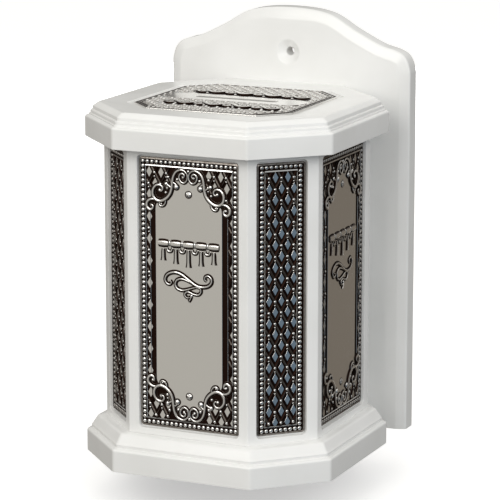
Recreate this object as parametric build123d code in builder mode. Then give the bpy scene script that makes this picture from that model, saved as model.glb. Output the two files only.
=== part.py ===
from build123d import *
import os
from math import radians, sqrt, tan

# Wall-hung charity box in painted wood: an eight-sided coin case with a moulded lid and base,
# closed at the back by a shaped hanging board, with relief plaques set into its faces.
#
# Frame: +X to the right, +Y to the back, +Z up. X = 0 is the plane of symmetry, Y = 0 is half
# of the overall depth, and Z = 0 is the underside of the base and of the board.

os.makedirs("parts", exist_ok=True)

# Overall depth and the planes that the case is set out from
case_depth = 145.6
board_thickness = 12.0
front_y = -(case_depth + board_thickness) / 2
board_front_y = front_y + case_depth
board_back_y = board_front_y + board_thickness

# Case outlines: half width, and the corner cut at the front and at the back (all at 45 degrees)
lid_half_width = 75.0
lid_corner = 34.8
base_half_width = 75.5
base_corner = 33.8
rear_corner = 29.1
wall_inset = 9.9
wall_thickness = 9.0

# Heights
base_thickness = 21.8
lid_bottom = 181.7
lid_top = 201.2
wall_height = lid_bottom - base_thickness

# Moulding on the lid and base, upwards from the vertical rim: eased edge, fillet, step, ovolo
rim_ease = 0.8
ease_rise = 1.2
fillet_inset = 2.2
fillet_rise = 1.8
step_inset = 2.4
step_rise = 4.3
lid_rim_height = 11.3
lid_ovolo_inset = 7.0
base_rim_height = 12.6
base_ovolo_inset = 10.2
cutter_margin = 4.0
rim_overrun = 12.0

# Hanging board
board_half_width = 75.2
board_apex = 244.6
board_edge_radius = 2.0
hanging_hole_z = 218.8
hanging_hole_radius = 2.4
hanging_sink_radius = 7.0
hanging_sink_angle = 110

# Pockets and plaques on the faces
pocket_bottom = 25.1
pocket_top = 178.3
pocket_height = pocket_top - pocket_bottom
pocket_depth = 2.8
pocket_corner = 2.0
stile_width = 5.8
plaque_gap = 0.6
plaque_end_gap = 1.1
plate_thickness = 0.8
relief_height = 0.4
rim_width = 1.3
border_width = 4.3
field_half_width = 19.6
field_height = 126.0

# Nails that hold the three figured plaques
nail_spacing = 112.8
nail_centre_z = 101.2
nail_head_radius = 1.7
nail_head_height = 0.9
nail_head_taper = 35
nail_shank_radius = 0.6
nail_length = 5.0

# Top plaque, its recess in the lid and the coin slot
top_plaque_y = -4.7
top_plaque_width = 95.0
top_plaque_depth = 92.4
top_plaque_corner = 14.5
recess_margin = 4.0
recess_depth = 0.8
slot_length = 50.0
slot_width = 5.6
slot_step = 0.3
ring_width = 2.6

# Joinery
dowel_radius = 2.5
dowel_length = 24.0
dowel_depth_in_wall = 6.0
front_dowel_x = 18.0
side_dowel_y = (-22.0, 18.0)
screw_radius = 1.75
screw_head_radius = 3.5
screw_length = 32.0
screw_x = 30.0
screw_clearance = 0.3
screw_head_angle = 90
drive_length = 4.2
drive_width = 0.9
drive_depth = 1.8
lid_screw_z = 190.0
base_screw_z = 11.0

# Stopper in the base
stopper_y = -5.0
stopper_hole_radius = 20.0
stopper_clearance = 0.08
flange_radius = 23.6
flange_thickness = 2.4
flange_seat_radius = 24.2
flange_seat_depth = 3.2
stopper_top = 18.0
stopper_wall = 2.4
stopper_floor = 3.0
nail_notch_length = 14.0
nail_notch_width = 2.4
nail_notch_depth = 1.0


def outline(half_width, corner, inset=0.0):
    """Corners of the case in plan, from the board at the right round to the board at the left."""
    turn = inset * tan(radians(22.5))
    right_side = [
        (half_width - rear_corner - inset * sqrt(2), board_front_y),
        (half_width - inset, board_front_y - rear_corner - turn),
        (half_width - inset, front_y + corner + turn),
        (half_width - corner - turn, front_y + inset),
    ]
    return right_side + [(-x, y) for x, y in reversed(right_side)]


def face_plane(first, second, z):
    """A plane standing on the wall face between two outline corners, facing outwards."""
    middle = ((first[0] + second[0]) / 2, (first[1] + second[1]) / 2, z)
    along = Vector(first[0] - second[0], first[1] - second[1], 0)
    return Plane(origin=middle, x_dir=along, z_dir=along.cross(Vector(0, 0, 1)))


def plaque_octagon(margin):
    """Corners of the top plaque in plan, moved outwards by margin."""
    turn = margin * tan(radians(22.5))
    x = top_plaque_width / 2 + margin
    y = top_plaque_depth / 2 + margin
    near_x = top_plaque_width / 2 - top_plaque_corner + turn
    near_y = top_plaque_depth / 2 - top_plaque_corner + turn
    right_side = [(near_x, -y), (x, -near_y), (x, near_y), (near_x, y)]
    corners = right_side + [(-px, py) for px, py in reversed(right_side)]
    return [(px, py + top_plaque_y) for px, py in corners]


def rim_path(half_width, corner, z):
    """The rim of the lid or base as a 3-D line whose ends run on past the board."""
    corners = outline(half_width, corner)
    start = (corners[0][0] - rim_overrun, corners[0][1] + rim_overrun)
    end = (corners[-1][0] + rim_overrun, corners[-1][1] + rim_overrun)
    points = [start] + corners[1:-1] + [end]
    return [(x, y, z) for x, y in points]


def waste_profile(rim_z, ovolo_inset):
    """Draw what the cutter removes outside the moulding: x is outwards, y is up from the top."""
    half_turn = sqrt(0.5)
    ovolo_start = (-step_inset, rim_z + step_rise)
    ovolo_middle = (
        -step_inset - (ovolo_inset - step_inset) * (1 - half_turn),
        ovolo_start[1] * (1 - half_turn),
    )
    Polyline(
        (0, rim_z), (-rim_ease, rim_z + ease_rise), (-fillet_inset, rim_z + fillet_rise), ovolo_start
    )
    ThreePointArc(ovolo_start, ovolo_middle, (-ovolo_inset, 0))
    Polyline(
        (-ovolo_inset, 0), (-ovolo_inset, cutter_margin), (cutter_margin, cutter_margin),
        (cutter_margin, rim_z), (0, rim_z),
    )


def save(part, name):
    part.label = name
    export_step(part, f"parts/{name}.step")


outer = outline(lid_half_width, lid_corner, wall_inset)
inner = outline(lid_half_width, lid_corner, wall_inset + wall_thickness)
wall_names = ["rear_right", "right", "front_right", "front", "front_left", "left", "rear_left"]
pocket_names = ["right", "front_right", "front", "front_left", "left"]
figured_names = ["right", "front", "left"]
pocket_middle = (pocket_top + pocket_bottom) / 2
faces = {
    name: face_plane(outer[index], outer[index + 1], pocket_middle)
    for index, name in enumerate(wall_names)
}
face_widths = {
    name: (Vector(outer[index]) - Vector(outer[index + 1])).length
    for index, name in enumerate(wall_names)
}
plaque_back = {name: faces[name].offset(-pocket_depth) for name in pocket_names}
nail_z = nail_centre_z - pocket_middle

# Dowels stand in the thickness of the front and side walls, clear of the plaque pockets
dowel_inset = wall_inset + dowel_depth_in_wall
dowel_side_x = lid_half_width - dowel_inset
dowel_places = [(side * front_dowel_x, front_y + dowel_inset) for side in (-1, 1)]
dowel_places += [(side * dowel_side_x, y) for side in (-1, 1) for y in side_dowel_y]
screw_places = [(x, z) for x in (-screw_x, screw_x) for z in (base_screw_z, lid_screw_z)]

# Back board: straight sides, rounded shoulders and an arched crest, with an eased front edge
shoulder = (65.4, 223.1)
shoulder_slope = -0.28
shoulder_end = (board_half_width, 210.0)
with BuildPart() as back_board:
    with BuildSketch(Plane.XZ.offset(-board_back_y)):
        with BuildLine():
            Spline(
                (0, board_apex), (24.0, 242.1), (41.0, 233.1), (56.0, 225.8), shoulder,
                tangents=[(1, 0), (1, shoulder_slope)],
            )
            TangentArc(shoulder, shoulder_end, tangent=(1, shoulder_slope))
            Polyline(shoulder_end, (board_half_width, 0), (0, 0), (0, board_apex))
        make_face()
        mirror(about=Plane.YZ)
    extrude(amount=board_thickness)
    front_face = back_board.faces().sort_by(Axis.Y)[0]
    fillet(front_face.edges(), radius=board_edge_radius)
    with Locations(Plane(origin=(0, board_front_y, hanging_hole_z), z_dir=(0, -1, 0))):
        CounterSinkHole(
            radius=hanging_hole_radius,
            counter_sink_radius=hanging_sink_radius,
            counter_sink_angle=hanging_sink_angle,
        )
    for x, z in screw_places:
        with Locations(Plane(origin=(x, board_back_y, z), z_dir=(0, 1, 0))):
            CounterSinkHole(
                radius=screw_radius + screw_clearance,
                counter_sink_radius=screw_head_radius + screw_clearance,
                counter_sink_angle=screw_head_angle,
            )
save(back_board.part, "back_board")

# Board screws: four countersunk cross-head wood screws driven from the back into lid and base
with BuildPart() as board_screws:
    for x, z in screw_places:
        with Locations(Plane(origin=(x, board_back_y, z), z_dir=(0, 1, 0))):
            Cylinder(
                screw_radius, screw_length, align=(Align.CENTER, Align.CENTER, Align.MAX)
            )
            Cone(
                screw_radius, screw_head_radius, screw_head_radius - screw_radius,
                align=(Align.CENTER, Align.CENTER, Align.MAX),
            )
            Box(
                drive_length, drive_width, drive_depth,
                align=(Align.CENTER, Align.CENTER, Align.MAX), mode=Mode.SUBTRACT,
            )
            Box(
                drive_width, drive_length, drive_depth,
                align=(Align.CENTER, Align.CENTER, Align.MAX), mode=Mode.SUBTRACT,
            )
save(board_screws.part, "board_screws")

# Lid: moulded slab with the coin slot, a shallow recess for the top plaque, and blind holes
with BuildPart() as lid:
    with BuildSketch(Plane.XY.offset(lid_bottom)):
        with BuildLine():
            Polyline(*outline(lid_half_width, lid_corner), close=True)
        make_face()
    extrude(amount=lid_top - lid_bottom)
    with BuildLine() as lid_rim:
        Polyline(*rim_path(lid_half_width, lid_corner, lid_top))
    with BuildSketch(Plane(origin=lid_rim.line @ 0, z_dir=lid_rim.line % 0, x_dir=(1, 1, 0))):
        with BuildLine():
            waste_profile(lid_bottom + lid_rim_height - lid_top, lid_ovolo_inset)
        make_face()
    sweep(path=lid_rim.line, transition=Transition.RIGHT, mode=Mode.SUBTRACT)
    with BuildSketch(Plane.XY.offset(lid_top)):
        with BuildLine():
            Polyline(*plaque_octagon(recess_margin), close=True)
        make_face()
    extrude(amount=-recess_depth, mode=Mode.SUBTRACT)
    with BuildSketch(Plane.XY.offset(lid_bottom)):
        with Locations((0, top_plaque_y)):
            SlotOverall(slot_length + 2 * slot_step, slot_width + 2 * slot_step)
    extrude(amount=lid_top - lid_bottom, mode=Mode.SUBTRACT)
    with BuildSketch(Plane.XY.offset(lid_bottom)):
        with Locations(*dowel_places):
            Circle(dowel_radius)
    extrude(amount=dowel_length / 2, mode=Mode.SUBTRACT)
    with BuildSketch(Plane.XZ.offset(-board_front_y)):
        with Locations((-screw_x, lid_screw_z), (screw_x, lid_screw_z)):
            Circle(screw_radius)
    extrude(amount=screw_length - board_thickness, mode=Mode.SUBTRACT)
save(lid.part, "lid")

# Base: moulded slab with a stepped round hole for the stopper, and blind holes
with BuildPart() as base:
    with BuildSketch():
        with BuildLine():
            Polyline(*outline(base_half_width, base_corner), close=True)
        make_face()
    extrude(amount=base_thickness)
    with BuildLine() as base_rim:
        Polyline(*rim_path(base_half_width, base_corner, base_thickness))
    with BuildSketch(Plane(origin=base_rim.line @ 0, z_dir=base_rim.line % 0, x_dir=(1, 1, 0))):
        with BuildLine():
            waste_profile(base_rim_height - base_thickness, base_ovolo_inset)
        make_face()
    sweep(path=base_rim.line, transition=Transition.RIGHT, mode=Mode.SUBTRACT)
    with Locations(Plane(origin=(0, stopper_y, 0), z_dir=(0, 0, -1))):
        CounterBoreHole(
            radius=stopper_hole_radius,
            counter_bore_radius=flange_seat_radius,
            counter_bore_depth=flange_seat_depth,
        )
    with BuildSketch(Plane.XY.offset(base_thickness)):
        with Locations(*dowel_places):
            Circle(dowel_radius)
    extrude(amount=-dowel_length / 2, mode=Mode.SUBTRACT)
    with BuildSketch(Plane.XZ.offset(-board_front_y)):
        with Locations((-screw_x, base_screw_z), (screw_x, base_screw_z)):
            Circle(screw_radius)
    extrude(amount=screw_length - board_thickness, mode=Mode.SUBTRACT)
save(base.part, "base")

# Walls: mitred staves, each with a pocket for its plaque where it has one
for index, name in enumerate(wall_names):
    with BuildPart() as wall:
        with BuildSketch(Plane.XY.offset(base_thickness)):
            with BuildLine():
                Polyline(outer[index], outer[index + 1], inner[index + 1], inner[index], close=True)
            make_face()
        extrude(amount=wall_height)
        if name in pocket_names:
            with BuildSketch(faces[name]):
                RectangleRounded(face_widths[name] - 2 * stile_width, pocket_height, pocket_corner)
            extrude(amount=-pocket_depth, mode=Mode.SUBTRACT)
        if name in figured_names:
            with BuildSketch(plaque_back[name]):
                with Locations((0, nail_z - nail_spacing / 2), (0, nail_z + nail_spacing / 2)):
                    Circle(nail_shank_radius)
            extrude(amount=plate_thickness - nail_length, mode=Mode.SUBTRACT)
        for z, direction in ((base_thickness, 1), (lid_bottom, -1)):
            with BuildSketch(Plane.XY.offset(z)):
                with Locations(*dowel_places):
                    Circle(dowel_radius)
            extrude(amount=direction * dowel_length / 2, mode=Mode.SUBTRACT)
    save(wall.part, f"wall_{name}")

# Face plaques: a thin plate with a raised rim, a raised inner border and, on the three figured
# ones, a raised smooth field and two nail holes
for name in pocket_names:
    plaque_width = face_widths[name] - 2 * stile_width - 2 * plaque_gap
    plaque_height = pocket_height - 2 * plaque_end_gap
    with BuildPart() as plaque:
        with BuildSketch(plaque_back[name]):
            RectangleRounded(plaque_width, plaque_height, pocket_corner - plaque_gap)
        extrude(amount=plate_thickness)
        with BuildSketch(plaque_back[name].offset(plate_thickness)):
            RectangleRounded(plaque_width, plaque_height, pocket_corner - plaque_gap)
            Rectangle(
                plaque_width - 2 * rim_width, plaque_height - 2 * rim_width, mode=Mode.SUBTRACT
            )
            Rectangle(plaque_width - 2 * border_width, plaque_height - 2 * border_width)
            Rectangle(
                plaque_width - 2 * border_width - rim_width,
                plaque_height - 2 * border_width - rim_width,
                mode=Mode.SUBTRACT,
            )
            if name in figured_names:
                Rectangle(2 * field_half_width, field_height)
        extrude(amount=relief_height)
        if name in figured_names:
            with BuildSketch(plaque_back[name]):
                with Locations((0, nail_z - nail_spacing / 2), (0, nail_z + nail_spacing / 2)):
                    Circle(nail_shank_radius)
            extrude(amount=plate_thickness + relief_height, mode=Mode.SUBTRACT)
    save(plaque.part, f"plaque_{name}")

# Nails: two domed pins through each figured plaque
for name in figured_names:
    head_plane = plaque_back[name].offset(plate_thickness + relief_height)
    with BuildPart() as nails:
        for z in (nail_z - nail_spacing / 2, nail_z + nail_spacing / 2):
            with BuildSketch(head_plane):
                with Locations((0, z)):
                    Circle(nail_shank_radius)
            extrude(amount=-relief_height - nail_length)
            with BuildSketch(head_plane):
                with Locations((0, z)):
                    Circle(nail_head_radius)
            extrude(amount=nail_head_height, taper=nail_head_taper)
    save(nails.part, f"nails_{name}")

# Top plaque: an octagonal plate round the coin slot, with a raised rim and a raised slot ring
with BuildPart() as top_plaque:
    plate_z = lid_top - recess_depth
    with BuildSketch(Plane.XY.offset(plate_z)):
        with BuildLine():
            Polyline(*plaque_octagon(0), close=True)
        make_face()
    extrude(amount=plate_thickness)
    with BuildSketch(Plane.XY.offset(plate_z + plate_thickness)):
        with BuildLine():
            Polyline(*plaque_octagon(0), close=True)
        make_face()
        with BuildLine(mode=Mode.PRIVATE) as inner_line:
            Polyline(*plaque_octagon(-rim_width), close=True)
        make_face(inner_line.edges(), mode=Mode.SUBTRACT)
        with Locations((0, top_plaque_y)):
            SlotOverall(slot_length + 2 * ring_width, slot_width + 2 * ring_width)
    extrude(amount=relief_height)
    with BuildSketch(Plane.XY.offset(plate_z)):
        with Locations((0, top_plaque_y)):
            SlotOverall(slot_length, slot_width)
    extrude(amount=plate_thickness + relief_height, mode=Mode.SUBTRACT)
save(top_plaque.part, "plaque_top")

# Dowels: beech pins that locate the walls in the lid and the base
for name, z in (("lid_dowels", lid_bottom), ("base_dowels", base_thickness)):
    with BuildPart() as dowels:
        with BuildSketch(Plane.XY.offset(z)):
            with Locations(*dowel_places):
                Circle(dowel_radius)
        extrude(amount=dowel_length / 2, both=True)
    save(dowels.part, name)

# Stopper: a soft cup with a flange that pulls down out of the base to empty the case
with BuildPart() as stopper:
    flange_top = flange_seat_depth
    flange_bottom = flange_top - flange_thickness
    plug_radius = stopper_hole_radius - stopper_clearance
    with BuildSketch(Plane.XY.offset(flange_bottom)):
        with Locations((0, stopper_y)):
            Circle(flange_radius)
    extrude(amount=flange_thickness)
    with BuildSketch(Plane.XY.offset(flange_top)):
        with Locations((0, stopper_y)):
            Circle(plug_radius)
    extrude(amount=stopper_top - flange_top)
    with BuildSketch(Plane.XY.offset(flange_top + stopper_floor)):
        with Locations((0, stopper_y)):
            Circle(plug_radius - stopper_wall)
    extrude(amount=stopper_top - flange_top - stopper_floor, mode=Mode.SUBTRACT)
    with BuildSketch(Plane.XY.offset(flange_bottom)):
        with Locations((0, stopper_y)):
            SlotOverall(nail_notch_length, nail_notch_width)
    extrude(amount=nail_notch_depth, mode=Mode.SUBTRACT)
save(stopper.part, "stopper")
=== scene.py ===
from math import cos, pi, radians, sin, sqrt, tan

import bmesh
import bpy
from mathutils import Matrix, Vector
from mathutils.geometry import tessellate_polygon


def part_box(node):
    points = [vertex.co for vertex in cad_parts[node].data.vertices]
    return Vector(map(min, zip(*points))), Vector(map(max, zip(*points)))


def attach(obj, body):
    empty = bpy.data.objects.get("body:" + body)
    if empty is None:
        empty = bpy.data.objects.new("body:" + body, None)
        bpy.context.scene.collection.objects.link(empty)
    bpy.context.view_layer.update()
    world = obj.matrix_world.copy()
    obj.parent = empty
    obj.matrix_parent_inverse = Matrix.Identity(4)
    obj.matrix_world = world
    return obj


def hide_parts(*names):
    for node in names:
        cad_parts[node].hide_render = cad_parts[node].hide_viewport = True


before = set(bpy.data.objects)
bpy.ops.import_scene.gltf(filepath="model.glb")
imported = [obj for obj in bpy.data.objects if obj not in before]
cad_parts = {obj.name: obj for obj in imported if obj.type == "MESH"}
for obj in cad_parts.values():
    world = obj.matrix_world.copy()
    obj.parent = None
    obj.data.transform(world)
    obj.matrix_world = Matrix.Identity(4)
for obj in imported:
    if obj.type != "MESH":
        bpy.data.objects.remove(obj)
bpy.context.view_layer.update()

# Everything below is in millimetres: +X right, +Y to the wall that the box hangs on, +Z up. Meshes
# are scaled to metres when they are made.
MM = 0.001


def box_mm(node):
    """The lowest and highest corner of a CAD node, in millimetres."""
    low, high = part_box(node)
    return low / MM, high / MM


# ---- places, read from the frame
lid_low, lid_high = box_mm("lid")
base_high = box_mm("base")[1]
board_low, board_high = box_mm("back_board")
front_low, front_high = box_mm("wall_front")
right_low, right_high = box_mm("wall_right")
top_low, top_high = box_mm("plaque_top")
stopper_low, stopper_high = box_mm("stopper")

case_front = lid_low.y
board_front = lid_high.y

# Dimensions that the bounding boxes don't give
LID_CORNER = 34.8
BASE_CORNER = 33.8
REAR_CORNER = 29.1
WALL_THICKNESS = 9.0
POCKET_BOTTOM, POCKET_TOP = 25.1, 178.3
POCKET_DEPTH = 2.8
STILE_WIDTH = 5.8
# The walls' top edge is eased, which leaves a dark line under the lid
TOP_EASE = 0.8
# How far two of the milled pockets sit off the middle of their wall, to its right
POCKET_OFFSET = {"front": 0.35, "front_right": -0.55}
SLOT_LENGTH, SLOT_WIDTH = 50.0, 5.6
# How much the slot in the lid is wider than the slot in its plaque, on each side
SLOT_STEP = 0.3
TOP_RECESS_MARGIN = 4.0
TOP_RECESS_DEPTH = 0.8
TOP_PLAQUE_CORNER = 14.5
# Each wall turns 45 degrees from the last, so a corner runs this far along per mm moved in
MITRE_RUN = tan(radians(22.5))

# The walls stand in a shallow recess in the base
case_floor = base_high.z - 0.2
top_middle = Vector((0, (top_low.y + top_high.y) / 2))

# Outer corners of the case in plan, from the board at the right round to the board at the left
rear_x = right_high.x - (board_front - right_high.y)
case_corners = [
    Vector((rear_x, board_front)), Vector((right_high.x, right_high.y)),
    Vector((right_high.x, right_low.y)), Vector((front_high.x, front_low.y)),
]
case_corners += [Vector((-c.x, c.y)) for c in reversed(case_corners)]
WALL_NAMES = ["rear_right", "right", "front_right", "front", "front_left", "left", "rear_left"]


def add_object(name, data):
    item = bpy.data.objects.new(name, data)
    bpy.context.scene.collection.objects.link(item)
    return item


# ---- mesh building
class Skin:
    """The points and faces of one piece, with a tone for each point: 0 blackened, 1 polished; some
    tones are lowered further as painted shade.
    """

    def __init__(self):
        self.points = []
        self.tones = []
        self.faces = []

    def ring(self, points, tone=1.0):
        first = len(self.points)
        self.points += [tuple(point) for point in points]
        tones = tone if isinstance(tone, (list, tuple)) else [tone] * len(points)
        self.tones += list(tones)
        return list(range(first, first + len(points)))

    def band(self, lower, upper):
        for i in range(len(lower)):
            j = (i + 1) % len(lower)
            self.faces.append((lower[i], lower[j], upper[j], upper[i]))

    def loft(self, rings):
        for lower, upper in zip(rings, rings[1:]):
            self.band(lower, upper)

    def cap(self, ring, crest):
        """Closes a ring with a fan of triangles to one point."""
        tip = self.ring([crest])[0]
        for i, corner in enumerate(ring):
            self.faces.append((corner, ring[(i + 1) % len(ring)], tip))

    def fill(self, outer, *holes):
        """Covers the flat region inside the outer ring and outside the holes."""
        loops = [[Vector(self.points[i]) for i in loop] for loop in (outer, *holes)]
        indices = [i for loop in (outer, *holes) for i in loop]
        for triangle in tessellate_polygon(loops):
            self.faces.append(tuple(indices[i] for i in triangle))

    def piece(self, name, material, replaced, sharp=40.0):
        """Makes the Blender object, turns its faces outwards and puts it on the case."""
        mesh = bpy.data.meshes.new(name)
        mesh.from_pydata([[c * MM for c in point] for point in self.points], [], self.faces)
        tone = mesh.attributes.new("tone", "FLOAT", "POINT")
        tone.data.foreach_set("value", self.tones)
        work = bmesh.new()
        work.from_mesh(mesh)
        bmesh.ops.remove_doubles(work, verts=work.verts, dist=1e-7)
        bmesh.ops.recalc_face_normals(work, faces=work.faces)
        work.to_mesh(mesh)
        work.free()
        mesh.materials.append(material)
        mesh.polygons.foreach_set("use_smooth", [True] * len(mesh.polygons))
        mesh.set_sharp_from_angle(angle=radians(sharp))
        item = add_object(name, mesh)
        weighted = item.modifiers.new("weighted_normals", "WEIGHTED_NORMAL")
        weighted.keep_sharp = True
        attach(item, "case")
        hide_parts(replaced)
        return item


def rounded(corners, radii, steps=4):
    """A closed outline with each corner turned on its own radius, as steps + 1 points each."""
    points = []
    for index, corner in enumerate(corners):
        back = (corners[index - 1] - corner).normalized()
        on = (corners[(index + 1) % len(corners)] - corner).normalized()
        half = back.angle(on) / 2
        radius = radii[index]
        centre = corner + (back + on).normalized() * (radius / sin(half))
        start = corner + back * (radius / tan(half)) - centre
        turn = (pi - 2 * half) * (1 if back.x * on.y - back.y * on.x < 0 else -1)
        for step in range(steps + 1):
            a = turn * step / steps
            x = start.x * cos(a) - start.y * sin(a)
            y = start.x * sin(a) + start.y * cos(a)
            points.append(centre + Vector((x, y)))
    return points


ARRIS_RADIUS = 3.2


def case_outline(half_width, corner, inset, radius=ARRIS_RADIUS):
    """The lid's or base's outline moved inwards, its arrises rounded, flat against the board."""
    turn = inset * MITRE_RUN
    right = [
        Vector((half_width - REAR_CORNER - inset * sqrt(2), board_front)),
        Vector((half_width - inset, board_front - REAR_CORNER - turn)),
        Vector((half_width - inset, case_front + corner + turn)),
        Vector((half_width - corner - turn, case_front + inset)),
    ]
    corners = right + [Vector((-c.x, c.y)) for c in reversed(right)]
    against_board = 0.05
    radii = [against_board] + [radius] * 6 + [against_board]
    return rounded(corners, radii)


def at_height(outline, z):
    return [(p.x, p.y, z) for p in outline]


def at_depth(outline, y):
    return [(p.x, y, p.y) for p in outline]


def circle(centre, radius, count=48):
    points = []
    for i in range(count):
        a = 2 * pi * i / count
        points.append(Vector((centre[0] + radius * cos(a), centre[1] + radius * sin(a))))
    return points


def stadium(centre, length, width):
    """A slot's outline: two half circles joined by straight sides."""
    radius = width / 2
    reach = length / 2 - radius
    steps = 10
    points = []
    for side in (1, -1):
        for i in range(steps + 1):
            a = -pi / 2 + pi * i / steps
            across = side * (reach + radius * cos(a))
            points.append(Vector((centre[0] + across, centre[1] + side * radius * sin(a))))
    return points


# ---- materials
def new_material(name):
    material = bpy.data.materials.new(name)
    material.use_nodes = True
    tree = material.node_tree
    return material, tree.nodes, tree.links, tree.nodes["Principled BSDF"]


def add_node(nodes, kind, values):
    """A new shader node with values for its inputs, by their name or number."""
    node = nodes.new(kind)
    for socket, value in values.items():
        node.inputs[socket].default_value = value
    return node


def add_math(nodes, kind, operation, values):
    node = add_node(nodes, kind, values)
    node.operation = operation
    return node


def add_ramp(nodes, *stops):
    """A colour ramp through two or more stops of (position, colour)."""
    node = nodes.new("ShaderNodeValToRGB")
    elements = node.color_ramp.elements
    for i, (position, colour) in enumerate(stops):
        element = elements[i] if i < 2 else elements.new(position)
        element.position = position
        element.color = (*colour, 1)
    return node


def join(links, *wires):
    """Links shader nodes; each wire is (node, output, node, input)."""
    for source, output, target, socket in wires:
        links.new(source.outputs[output], target.inputs[socket])


def lacquer_material():
    """Sprayed white lacquer: faint clouding and a little orange peel."""
    material, nodes, links, shader = new_material("white_lacquer")
    place = nodes.new("ShaderNodeTexCoord")
    clouds = add_node(nodes, "ShaderNodeTexNoise", {"Scale": 28, "Detail": 3})
    peel = add_node(nodes, "ShaderNodeTexNoise", {"Scale": 700, "Detail": 1})
    colour = add_ramp(nodes, (0.3, (0.80, 0.80, 0.785)), (0.7, (0.85, 0.85, 0.84)))
    gloss = add_node(nodes, "ShaderNodeMapRange", {"To Min": 0.16, "To Max": 0.26})
    bump = add_node(nodes, "ShaderNodeBump", {"Strength": 0.04, "Distance": 0.0004})
    join(
        links,
        (place, "Object", clouds, "Vector"), (place, "Object", peel, "Vector"),
        (clouds, "Fac", colour, "Fac"), (colour, "Color", shader, "Base Color"),
        (clouds, "Fac", gloss, "Value"), (gloss, "Result", shader, "Roughness"),
        (peel, "Fac", bump, "Height"), (bump, "Normal", shader, "Normal"),
    )
    return material


def silver_material():
    """Antiqued silver plate: polished where the relief stands up, black-brown in its recesses, darker
    still where its tones carry painted shade.
    """
    material, nodes, links, shader = new_material("antique_silver")
    tone = nodes.new("ShaderNodeAttribute")
    tone.attribute_name = "tone"
    place = nodes.new("ShaderNodeTexCoord")
    grain = add_node(nodes, "ShaderNodeTexNoise", {"Scale": 900, "Detail": 2})
    spread = 0.25
    uneven = add_math(nodes, "ShaderNodeMath", "MULTIPLY_ADD", {1: spread})
    level = add_math(nodes, "ShaderNodeMath", "SUBTRACT", {1: spread / 2})
    colour = add_ramp(
        nodes,
        (0.12, (0.022, 0.011, 0.008)), (0.85, (0.90, 0.888, 0.865)), (0.5, (0.23, 0.20, 0.175)),
    )
    rough = add_node(nodes, "ShaderNodeMapRange", {"To Min": 0.55, "To Max": 0.14})
    shader.inputs["Metallic"].default_value = 1.0
    join(
        links,
        (place, "Object", grain, "Vector"), (grain, "Fac", uneven, 0),
        (tone, "Fac", uneven, 2), (uneven, "Value", level, 0),
        (level, "Value", colour, "Fac"), (colour, "Color", shader, "Base Color"),
        (level, "Value", rough, "Value"), (rough, "Result", shader, "Roughness"),
    )
    return material


def grained_material(name, colours, stretch, scale, roughness, metallic=0.0, relief=0.0):
    """A material with streaky or cloudy grain between two colours."""
    material, nodes, links, shader = new_material(name)
    place = nodes.new("ShaderNodeTexCoord")
    mapping = add_node(nodes, "ShaderNodeMapping", {"Scale": stretch})
    grain = add_node(nodes, "ShaderNodeTexNoise", {"Scale": scale, "Detail": 4})
    colour = add_ramp(nodes, (0.35, colours[0]), (0.65, colours[1]))
    gloss = add_node(nodes, "ShaderNodeMapRange", {"To Min": roughness[0], "To Max": roughness[1]})
    bump = add_node(nodes, "ShaderNodeBump", {"Strength": relief, "Distance": 0.0003})
    shader.inputs["Metallic"].default_value = metallic
    join(
        links,
        (place, "Object", mapping, "Vector"), (mapping, "Vector", grain, "Vector"),
        (grain, "Fac", colour, "Fac"), (colour, "Color", shader, "Base Color"),
        (grain, "Fac", gloss, "Value"), (gloss, "Result", shader, "Roughness"),
        (grain, "Fac", bump, "Height"), (bump, "Normal", shader, "Normal"),
    )
    return material


lacquer = lacquer_material()
silver = silver_material()
nail_metal = grained_material(
    "nail_silver", ((0.62, 0.61, 0.59), (0.80, 0.79, 0.77)), (1, 1, 1), 800, (0.14, 0.3), 1.0, 0.35)
zinc = grained_material(
    "zinc_plated", ((0.50, 0.50, 0.49), (0.66, 0.66, 0.63)), (1, 1, 1), 500, (0.3, 0.5), 1.0, 0.2)
beech = grained_material(
    "beech_wood", ((0.52, 0.34, 0.19), (0.67, 0.48, 0.30)), (1, 1, 0.08), 700, (0.55, 0.7), 0.0, 0.3)
rubber = grained_material(
    "white_rubber", ((0.70, 0.70, 0.68), (0.76, 0.76, 0.74)), (1, 1, 1), 300, (0.6, 0.75), 0.0, 0.15)


# ---- woodwork
# Moulding profiles from the vertical rim upwards, as (inset, height); each ends on the flat top
LID_PROFILE = [
    (0.0, 192.4), (0.2, 193.1), (0.65, 193.55), (1.4, 193.8), (1.95, 193.95), (2.05, 194.45),
    (2.15, 194.7), (2.45, 194.85), (2.75, 194.95), (2.85, 195.9), (2.9, 196.35), (3.05, 196.6),
    (3.4, 196.75), (4.0, 197.0), (4.1, 198.4), (4.2, 198.8), (4.5, 199.1), (6.2, 200.3), (6.8, 200.8),
    (7.8, 201.2),
]
BASE_PROFILE = [
    (0.0, 11.6), (0.12, 12.3), (0.45, 12.8), (1.0, 13.05), (2.2, 13.3), (2.7, 13.4), (2.75, 13.7),
    (2.5, 14.9), (2.45, 15.3), (2.6, 15.6), (2.95, 15.8), (3.5, 16.8), (5.4, 20.0), (5.8, 20.55),
    (6.5, 21.0), (7.6, 21.25), (9.4, 21.45), (11.4, 21.6),
]
BOTTOM_EASE = [(0.5, 0.0), (0.12, 0.12), (0.0, 0.45)]


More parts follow.
